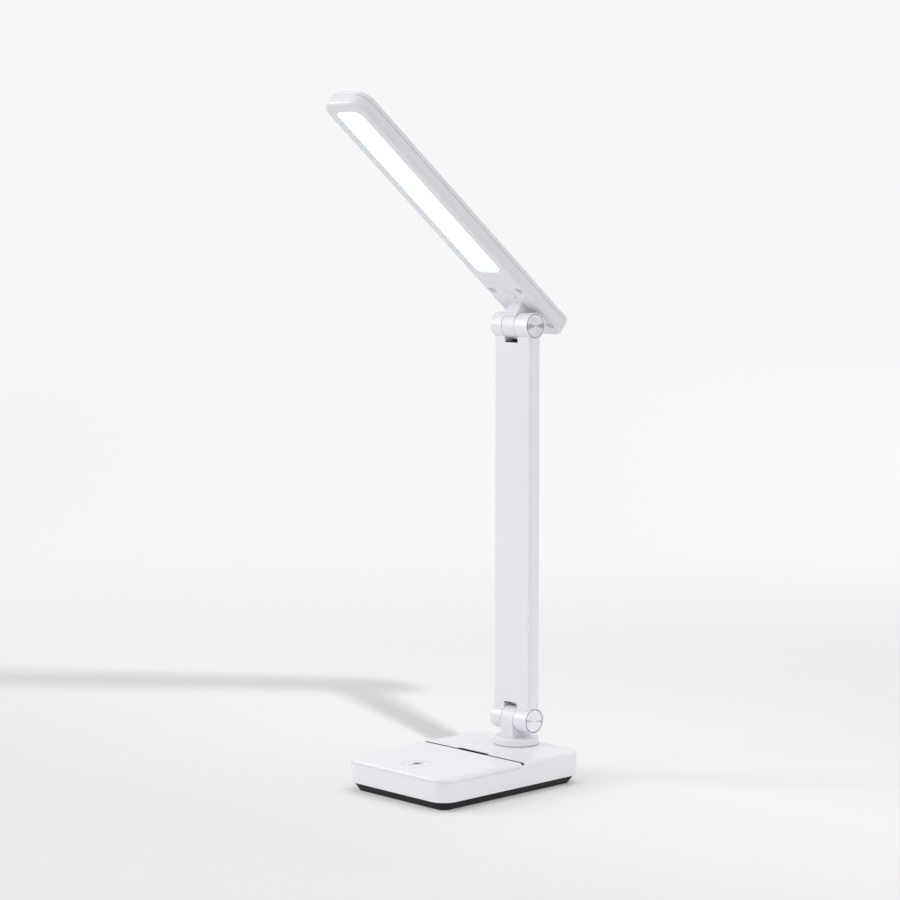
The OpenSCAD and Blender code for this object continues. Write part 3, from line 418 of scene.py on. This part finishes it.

# %% [markdown]
# ## Making pieces
# New pieces are shaped with bmesh operators and handed over by one function. It merges doubles, turns the
# faces outwards, keeps sharp edges sharp and smooths the rest, gives the piece its finish and its body, and
# hides the solid that it stands for.

# %% Hand over a piece
SMOOTH_BELOW = math.radians(32)


def hand_over(shape, name, finish, body, stands_for=None):
    bmesh.ops.remove_doubles(shape, verts=shape.verts, dist=1e-6)
    bmesh.ops.recalc_face_normals(shape, faces=shape.faces)
    mesh = bpy.data.meshes.new(name)
    shape.to_mesh(mesh)
    shape.free()
    mesh.shade_smooth()
    mesh.set_sharp_from_angle(angle=SMOOTH_BELOW)
    mesh.materials.append(finish)
    piece = bpy.data.objects.new(name, mesh)
    bpy.context.scene.collection.objects.link(piece)
    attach(piece, body)
    if stands_for:
        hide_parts(stands_for)
    print(name, len(mesh.polygons), "faces")
    return piece


def profile(shape, points):
    """A chain of edges in the XZ plane, from (radius, height) pairs."""
    verts = [shape.verts.new((r, 0, h)) for r, h in points]
    return verts, [shape.edges.new(pair) for pair in zip(verts, verts[1:])]


def turn(shape, points, steps):
    """Spins a profile round Z into a closed form; the profile starts and ends on the axis."""
    verts, edges = profile(shape, points)
    bmesh.ops.spin(shape, geom=verts + edges, cent=(0, 0, 0), axis=(0, 0, 1), angle=2 * math.pi, steps=steps,
                   use_merge=True)
    bmesh.ops.remove_doubles(shape, verts=shape.verts, dist=1e-7)


def arc(centre, radius, start, end, steps):
    """Points of an arc, as (radius, height) pairs; angles in degrees."""
    for i in range(steps + 1):
        angle = math.radians(start + (end - start) * i / steps)
        yield (centre[0] + radius * math.cos(angle), centre[1] + radius * math.sin(angle))


# %% [markdown]
# ## Spun caps
# The four hinge caps are the lamp's jewellery: aluminium discs, faced on a lathe in one pass, so that the
# tool leaves a spiral of fine grooves. Light catches such grooves only across them, which is why the disc
# shows bright and dark sectors that meet in its middle. The grooves are real geometry here, and the
# shader's anisotropy adds the streak of a highlight: its tangent runs round the cap's axis. An even studio
# would still leave the disc flat, so these sectors are painted reflection: the finish's colour carries two
# grey painted sectors, each fading at its sides into a paler painted colour.

# %% Spun aluminium
PAINTED_DARK_SECTOR = (0.5, 0.5, 0.54, 1)
PAINTED_BRIGHT_SECTOR = (0.93, 0.93, 0.95, 1)
# Shares of a painted reflection sector's half angle between which it fades
PAINTED_SECTOR_FADE = (0.35, 1.7)


def spun_metal_painted_sectors(name, axis_height, half_angle, lean):
    """Turned aluminium with two grey sectors of painted reflection, which lie level but for the lean; angles
    in degrees.
    """
    finish, tree, shader, where = start_finish(name, 0.24, metallic=1.0)
    shader.inputs["Anisotropic"].default_value = 0.8
    spoke = vectors(tree, "SUBTRACT", where, (0, LOWER_AXIS.y, axis_height))
    flat = vectors(tree, "MULTIPLY", spoke, (0, 1, 1))
    radius = vectors(tree, "LENGTH", flat)
    groove = add(tree, "TexNoise", {"noise_dimensions": "1D"}, W=radius, Scale=9000.0, Detail=2.0).outputs[0]
    upright = (0, -math.sin(math.radians(lean)), math.cos(math.radians(lean)))
    rise = maths(tree, "ABSOLUTE", vectors(tree, "DOT_PRODUCT", flat, upright))
    fade_starts, fade_ends = (math.sin(math.radians(half_angle * share)) for share in PAINTED_SECTOR_FADE)
    slope = maths(tree, "DIVIDE", rise, radius)
    bright = add(tree, "MapRange", {"interpolation_type": "SMOOTHSTEP"}, Value=slope, From_Min=fade_starts,
                 From_Max=fade_ends).outputs[0]
    # Painted reflection: the colour is grey in the level sectors and pale elsewhere
    sector = blend_colours(tree, bright, PAINTED_DARK_SECTOR, PAINTED_BRIGHT_SECTOR)
    fine = blend_colours(tree, groove, opaque((0.9, 0.9, 0.9)), opaque((1.04, 1.04, 1.04)))
    tree.links.new(blend_colours(tree, 1.0, sector, fine, "MULTIPLY"), shader.inputs["Base Color"])
    bent = add(tree, "Bump", Strength=0.15, Distance=0.05 * MM, Height=groove).outputs[0]
    tree.links.new(bent, shader.inputs["Normal"])
    tangent = vectors(tree, "NORMALIZE", vectors(tree, "CROSS_PRODUCT", flat, (1, 0, 0)))
    tree.links.new(tangent, shader.inputs["Tangent"])
    return finish


CAP_RADIUS = (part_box("hinge_caps")[1].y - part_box("hinge_caps")[0].y) / 2
CAP_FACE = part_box("hinge_caps")[1].x
CAP_THICKNESS = 1.9 * MM
GROOVES = 12
GROOVE_DEPTH = 0.02 * MM


def cap_profile():
    """From the axis under the cap, out round its rim and in over the grooved face."""
    rim = 0.45 * MM
    points = [(0, 0), (CAP_RADIUS, 0), (CAP_RADIUS, CAP_THICKNESS - rim)]
    points += list(arc((CAP_RADIUS - rim, CAP_THICKNESS - rim), rim, 0, 90, 5))[1:]
    face = CAP_RADIUS - rim
    for i in range(1, 2 * GROOVES):
        depth = GROOVE_DEPTH if i % 2 else 0
        points.append((face * (1 - i / (2 * GROOVES)), CAP_THICKNESS - depth))
    points.append((0, CAP_THICKNESS - 0.04 * MM))
    return points


# Each hinge's caps get their own painted reflection sectors: narrow and leaning below, wider and level above
for level, axis, half_angle, lean in (("lower", LOWER_AXIS, 5, -8), ("upper", UPPER_AXIS, 17, 0)):
    cap_metal_painted_sectors = spun_metal_painted_sectors(level + "_cap_metal_painted_sectors", axis.z, half_angle, lean)
    for side, word in ((1, "right"), (-1, "left")):
        cap = bmesh.new()
        turn(cap, cap_profile(), 96)
        bmesh.ops.rotate(cap, verts=cap.verts, matrix=Matrix.Rotation(side * math.pi / 2, 3, "Y"))
        bmesh.ops.translate(cap, verts=cap.verts, vec=(side * (CAP_FACE - CAP_THICKNESS), axis.y, axis.z))
        hand_over(cap, f"{level}_{word}_cap", cap_metal_painted_sectors, "arm", "hinge_caps")

# %% [markdown]
# ## Screws with a cross recess
# The head is held by four small pan head screws, set into recesses beside the hinge. The recess is cut the
# way it is punched: the top of the head is divided along the edges of a cross, and the faces inside the
# cross are pushed down and drawn together.

# %% Cross recess screws


def cross_screw(head_radius, head_height, shank_radius, shank_length):
    """A screw along Z whose head's top is at z = 0 and whose shank points down."""
    screw = bmesh.new()
    half_slot, reach, depth = head_radius * 0.14, head_radius * 0.55, head_height * 0.6
    flat_radius = head_radius * 0.82
    bmesh.ops.create_circle(screw, cap_ends=True, segments=48, radius=flat_radius)
    for normal in ((1, 0, 0), (0, 1, 0)):
        for place in (-reach, -half_slot, half_slot, reach):
            bmesh.ops.bisect_plane(screw, geom=screw.verts[:] + screw.edges[:] + screw.faces[:],
                                   plane_co=Vector(normal) * place, plane_no=normal)
    rim = [e for e in screw.edges if e.is_boundary]
    cross = [f for f in screw.faces if in_cross(f.calc_center_median(), half_slot, reach)]
    pushed = bmesh.ops.extrude_face_region(screw, geom=cross)["geom"]
    floor = [v for v in pushed if isinstance(v, bmesh.types.BMVert)]
    bmesh.ops.delete(screw, geom=cross, context="FACES_ONLY")
    bmesh.ops.scale(screw, verts=floor, vec=(0.6, 0.6, 1))
    bmesh.ops.translate(screw, verts=floor, vec=(0, 0, -depth))
    steps = [(head_radius / flat_radius, -head_height * 0.35), (1, -head_height * 0.65),
             (shank_radius / head_radius, 0), (1, -shank_length)]
    for scale, drop in steps:
        grown = bmesh.ops.extrude_edge_only(screw, edges=rim)["geom"]
        rim = [e for e in grown if isinstance(e, bmesh.types.BMEdge) and e.is_boundary]
        ring = list({v for e in rim for v in e.verts})
        bmesh.ops.scale(screw, verts=ring, vec=(scale, scale, 1))
        bmesh.ops.translate(screw, verts=ring, vec=(0, 0, drop))
    bmesh.ops.contextual_create(screw, geom=rim)
    return screw


def in_cross(point, half_slot, reach):
    x, y = abs(point.x), abs(point.y)
    return (x < half_slot and y < reach) or (y < half_slot and x < reach)


SCREW_SIDE = 12 * MM
SCREW_FRONT = 22.6 * MM
SCREW_REAR = -13.8 * MM
UNDERSIDE = 10.8 * MM
SCREW_SINK = 0.45 * MM
into_head = Matrix.Rotation(-HEAD_TILT, 4, "X")
for word, across, ahead, twist in (("front_right", 1, SCREW_FRONT, 20), ("front_left", -1, SCREW_FRONT, 65),
                                   ("rear_right", 1, SCREW_REAR, 5), ("rear_left", -1, SCREW_REAR, 50)):
    screw = cross_screw(2.5 * MM, 1 * MM, 1.18 * MM, 3 * MM)
    place = UPPER_AXIS + HEAD_AHEAD * ahead + HEAD_UP * (UNDERSIDE + SCREW_SINK)
    place.x = across * SCREW_SIDE
    turned = into_head @ Matrix.Rotation(math.pi, 4, "X") @ Matrix.Rotation(math.radians(twist), 4, "Z")
    bmesh.ops.transform(screw, matrix=Matrix.Translation(place) @ turned, verts=screw.verts)
    hand_over(screw, "head_screw_" + word, zinc, "head", "head_screws")

# %% [markdown]
# Four more screws of this kind hold the case on the tray. They come up through the tray's corners, beside
# the sole, and only their heads show from underneath.

# %% Case screws
CASE_HEAD = 2.3 * MM
low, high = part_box("case_screws")
for i, (side, end) in enumerate(((1, 1), (1, -1), (-1, 1), (-1, -1))):
    screw = cross_screw(CASE_HEAD, 1.2 * MM, 1.18 * MM, high.z - low.z - 1.2 * MM)
    place = Vector((side * (high.x - CASE_HEAD), end * (high.y - CASE_HEAD), low.z))
    turned = Matrix.Rotation(math.pi, 4, "X") @ Matrix.Rotation(math.radians(15 + 35 * i), 4, "Z")
    bmesh.ops.transform(screw, matrix=Matrix.Translation(place) @ turned, verts=screw.verts)
    hand_over(screw, f"case_screw_{i + 1}", zinc, "base", "case_screws")

# %% [markdown]
# ## The power button
# A moulded button has a soft rim and a shallow dish that tells the finger where it is. Its guide flange and
# stem stay out of sight inside the head.

# %% Power button
BUTTON_RADIUS = 4.2 * MM
BUTTON_FLANGE = 5.1 * MM
BUTTON_AHEAD = 18.2 * MM
BUTTON_PROUD = 0.3 * MM
FLANGE_LOW = 2.65 * MM
FLANGE_HIGH = 3.25 * MM
STEM_RADIUS = 1.3 * MM
STEM_HIGH = 3.65 * MM


def button_profile():
    """From the middle of the dished face, over the rim, past the flange and up the stem."""
    rim, dish = 0.35 * MM, 0.25 * MM
    face = -BUTTON_PROUD
    points = [(0, face + dish)]
    points += [(BUTTON_RADIUS * 0.82 * k, face + dish * (1 - k * k)) for k in (0.25, 0.5, 0.75, 1)]
    points += list(arc((BUTTON_RADIUS - rim, face + rim), rim, -90, 0, 6))
    points += [(BUTTON_RADIUS, FLANGE_LOW), (BUTTON_FLANGE, FLANGE_LOW), (BUTTON_FLANGE, FLANGE_HIGH)]
    points += [(STEM_RADIUS, FLANGE_HIGH), (STEM_RADIUS, STEM_HIGH), (0, STEM_HIGH)]
    return points


button = bmesh.new()
turn(button, button_profile(), 64)
button_place = UPPER_AXIS + HEAD_AHEAD * BUTTON_AHEAD + HEAD_UP * UNDERSIDE
button_place.x = 0
bmesh.ops.transform(button, matrix=Matrix.Translation(button_place) @ into_head, verts=button.verts)
hand_over(button, "dished_button", satin_white, "button", "power_button")

# %% [markdown]
# ## The charging socket
# The socket at the rear is a folded shell of tinned steel round a black tongue with gold contacts. A circle
# that is pulled apart sideways gives the shell's outline, and solidifying the extruded outline gives its
# wall.

# %% Charging socket
socket_low, socket_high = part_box("charging_socket")
SOCKET_CENTRE = (socket_low + socket_high) / 2
SOCKET_WIDTH = socket_high.x - socket_low.x
SOCKET_HEIGHT = socket_high.z - socket_low.z
SOCKET_WALL = 0.35 * MM
CONTACTS = 12


def stadium(shape, width, height, y):
    """A ring of vertices round a slot with half round ends, in the plane of that y."""
    ring = bmesh.ops.create_circle(shape, segments=40, radius=height / 2)["verts"]
    bmesh.ops.rotate(shape, verts=ring, matrix=Matrix.Rotation(math.pi / 40, 3, "Z"))
    for vert in ring:
        vert.co.x += math.copysign((width - height) / 2, vert.co.x)
    bmesh.ops.rotate(shape, verts=ring, matrix=Matrix.Rotation(math.pi / 2, 3, "X"))
    bmesh.ops.translate(shape, verts=ring, vec=(0, y, 0))
    return ring


def ring_edges(ring):
    inside = set(ring)
    return list({e for v in ring for e in v.link_edges if set(e.verts) <= inside})


shell = bmesh.new()
loops = [stadium(shell, SOCKET_WIDTH - 2 * lip, SOCKET_HEIGHT - 2 * lip, y) for lip, y in (
    (0, socket_low.y), (0, socket_high.y - 0.1 * MM), (0.1 * MM, socket_high.y),
    (SOCKET_WALL - 0.05 * MM, socket_high.y), (SOCKET_WALL, socket_high.y - 0.1 * MM),
    (SOCKET_WALL, socket_low.y + 1 * MM))]
for outer, inner in zip(loops, loops[1:]):
    bmesh.ops.bridge_loops(shell, edges=ring_edges(outer) + ring_edges(inner))
for ring in (loops[0], loops[-1]):
    bmesh.ops.contextual_create(shell, geom=ring_edges(ring))
bmesh.ops.translate(shell, verts=shell.verts, vec=(SOCKET_CENTRE.x, 0, SOCKET_CENTRE.z))
hand_over(shell, "socket_shell", tin, "base", "charging_socket")


def slab_piece(size, centre, rounding):
    """A small block with bevelled edges."""
    block = bmesh.new()
    bmesh.ops.create_cube(block, size=1)
    bmesh.ops.scale(block, verts=block.verts, vec=size)
    bmesh.ops.bevel(block, geom=block.edges[:], offset=rounding, offset_type="OFFSET", segments=2,
                    profile=0.5, affect="EDGES", material=-1)
    bmesh.ops.translate(block, verts=block.verts, vec=centre)
    return block


TONGUE_LENGTH = 5 * MM
tongue_back = socket_low.y + 1 * MM
tongue_centre = Vector((SOCKET_CENTRE.x, tongue_back + TONGUE_LENGTH / 2, SOCKET_CENTRE.z))
tongue = slab_piece((6.3 * MM, TONGUE_LENGTH, 0.7 * MM), tongue_centre, 0.15 * MM)
hand_over(tongue, "socket_tongue", inner_black, "base", "charging_socket")
contacts = bmesh.new()
for i in range(CONTACTS):
    x = (i - (CONTACTS - 1) / 2) * 0.5 * MM
    made = bmesh.ops.create_cube(contacts, size=1)["verts"]
    bmesh.ops.scale(contacts, verts=made, vec=(0.25 * MM, TONGUE_LENGTH * 0.7, 0.8 * MM))
    bmesh.ops.translate(contacts, verts=made, vec=tongue_centre + Vector((x, -TONGUE_LENGTH * 0.05, 0)))
hand_over(contacts, "socket_contacts", gold, "base", "charging_socket")

# %% [markdown]
# ## The floor
# The lamp stands on white paper that runs back without a horizon. Near the lamp the paper is a real
# surface, which takes shadows, and its colour carries painted shade that makes it darker on the near left,
# seen from the camera; behind it the paper fades into a plain glow, which rises a little to the right and
# meets the backdrop's tone far away, so that no horizon shows. From underneath the paper is clear, and the
# sole can be seen.

# %% Floor
FLOOR_RADIUS = 9.0
PAPER_IN_PAINTED_SHADE = 0.472
PAPER_CLEAR_OF_PAINTED_SHADE = 0.532
GLOW_LEFT = 0.9
GLOW_RIGHT = 0.965
BACKDROP_TONE = 0.93
# Distances in metres: across the paper's painted shade, back into the glow, out to its sides, on to the
# backdrop
PAINTED_SHADE_SPAN = (-0.16, 0.1)
FADE_SPAN = (0.12, 1.1)
GLOW_SPAN = (-0.8, 0.8)
MEETING_SPAN = (0.9, 6.0)
FLOOR_GAP = 0.2 * MM
backward = Vector((-rightward.y, rightward.x, 0))

disc = bmesh.new()
bmesh.ops.create_circle(disc, cap_ends=True, segments=96, radius=FLOOR_RADIUS)
floor_mesh = bpy.data.meshes.new("floor")
disc.to_mesh(floor_mesh)
disc.free()
floor = bpy.data.objects.new("floor", floor_mesh)
floor.location.z = -FLOOR_GAP
bpy.context.scene.collection.objects.link(floor)

floor_finish, tree, shader, where = start_finish("floor_paper", 0.9)
shader.inputs["Specular IOR Level"].default_value = 0.0


def change(direction, span, low, high, kind="LINEAR"):
    """A value that goes from low to high over a span of the way in one direction."""
    along = vectors(tree, "DOT_PRODUCT", where, direction)
    return add(tree, "MapRange", {"interpolation_type": kind}, Value=along, From_Min=span[0],
               From_Max=span[1], To_Min=low, To_Max=high).outputs[0]


# Painted shade: the paper's colour is darker towards the near left, seen from the camera
shade = change((backward + rightward) * 0.7, PAINTED_SHADE_SPAN, PAPER_IN_PAINTED_SHADE, PAPER_CLEAR_OF_PAINTED_SHADE)
tree.links.new(shade, shader.inputs["Base Color"])
glow = change(rightward, GLOW_SPAN, GLOW_LEFT, GLOW_RIGHT)
seen = add(tree, "Emission", Strength=change(backward, MEETING_SPAN, glow, BACKDROP_TONE, "SMOOTHSTEP"))
faded = add(tree, "MixShader", Fac=change(backward, FADE_SPAN, 0.0, 1.0, "SMOOTHSTEP"))
tree.links.new(shader.outputs[0], faded.inputs[1])
tree.links.new(seen.outputs[0], faded.inputs[2])
below = add(tree, "NewGeometry").outputs["Backfacing"]
clear = add(tree, "BsdfTransparent")
one_sided = add(tree, "MixShader", Fac=below)
tree.links.new(faded.outputs[0], one_sided.inputs[1])
tree.links.new(clear.outputs[0], one_sided.inputs[2])
tree.links.new(one_sided.outputs[0], tree.nodes["Material Output"].inputs["Surface"])
floor_mesh.materials.append(floor_finish)

# %% [markdown]
# ## Light
# Light comes from everywhere, as in a white tent, and four lamps shape it: a soft box at the front left, a
# wide one overhead, a weak fill at the right and a tall strip far left, which draws the bright bands on the
# round hinges. The fill is flagged off the head, whose side stays in the shade. A fifth, small lamp on the
# right works on the paper alone: it draws the lamp's long shadow without changing the light on the lamp
# itself, and only the parts above the base stand in its way.

# %% World
WORLD_LIGHT = 0.78
world = bpy.data.worlds.new("studio")
bpy.context.scene.world = world
world.use_nodes = True
tree = world.node_tree
path = add(tree, "LightPath")
shown = maths(tree, "MAXIMUM", path.outputs["Is Camera Ray"], path.outputs["Is Glossy Ray"])
shown = maths(tree, "MAXIMUM", shown, path.outputs["Is Transmission Ray"])
level = add(tree, "MapRange", Value=shown, To_Min=WORLD_LIGHT, To_Max=BACKDROP_TONE).outputs[0]
tree.links.new(level, tree.nodes["Background"].inputs["Strength"])
tree.nodes["Background"].inputs["Color"].default_value = (1, 1, 1, 1)

# %% Lamps


def area_lamp(name, place, target, size, power, height=None):
    """A round lamp, or a rectangular one where a height is given."""
    data = bpy.data.lights.new(name, "AREA")
    data.shape = "RECTANGLE" if height else "DISK"
    data.size = size
    if height:
        data.size_y = height
    data.energy = power
    lamp = bpy.data.objects.new(name, data)
    lamp.location = place
    lamp.rotation_euler = (Vector(place) - Vector(target)).to_track_quat("Z", "Y").to_euler()
    bpy.context.scene.collection.objects.link(lamp)
    return lamp


def steady(lamp):
    """Takes the fall with distance out of a lamp, so that a shadow keeps its depth along its length."""
    lamp.data.use_nodes = True
    tree = lamp.data.node_tree
    fall = add(tree, "LightFalloff", Strength=1.0).outputs["Constant"]
    tree.links.new(fall, tree.nodes["Emission"].inputs["Strength"])


def group(name, members):
    made = bpy.data.collections.new(name)
    for member in members:
        made.objects.link(member)
    return made


soft_box = area_lamp("soft_box", (-0.9, -1.6, 1.3), (0, 0, 0.2), 1.4, 5.0)
top_box = area_lamp("top_box", (0.15, 0.5, 1.9), (0, 0, 0), 1.4, 4.2)
side_fill = area_lamp("side_fill", (1.5, 0.1, 0.35), (0, 0, 0.1), 1.2, 2.2)
strip = area_lamp("strip", UPPER_AXIS + Vector((-1.08, -0.93, 0.46)), UPPER_AXIS, 0.3, 3.8, height=0.9)
key = area_lamp("shadow_lamp", (0.57, -0.18, 0.89), (0, 0, 0.1), 0.05, 6.4)
steady(key)
casters = ["turntable_collar", "hinge_post", "arm_rear_shell", "arm_front_shell", "head_bracket",
           "head_housing", "head_cover"]
flagged = group("head_in_the_shade", [nodes["head_housing"], nodes["head_cover"]])
for member in flagged.collection_objects:
    member.light_linking.link_state = "EXCLUDE"
side_fill.light_linking.receiver_collection = flagged
key.light_linking.receiver_collection = group("paper_only", [floor])
key.light_linking.blocker_collection = group("shadow_casters", [nodes[name] for name in casters])
bpy.context.scene.view_settings.view_transform = "Standard"
print("lamps:", [lamp.name for lamp in (soft_box, top_box, side_fill, strip, key)])
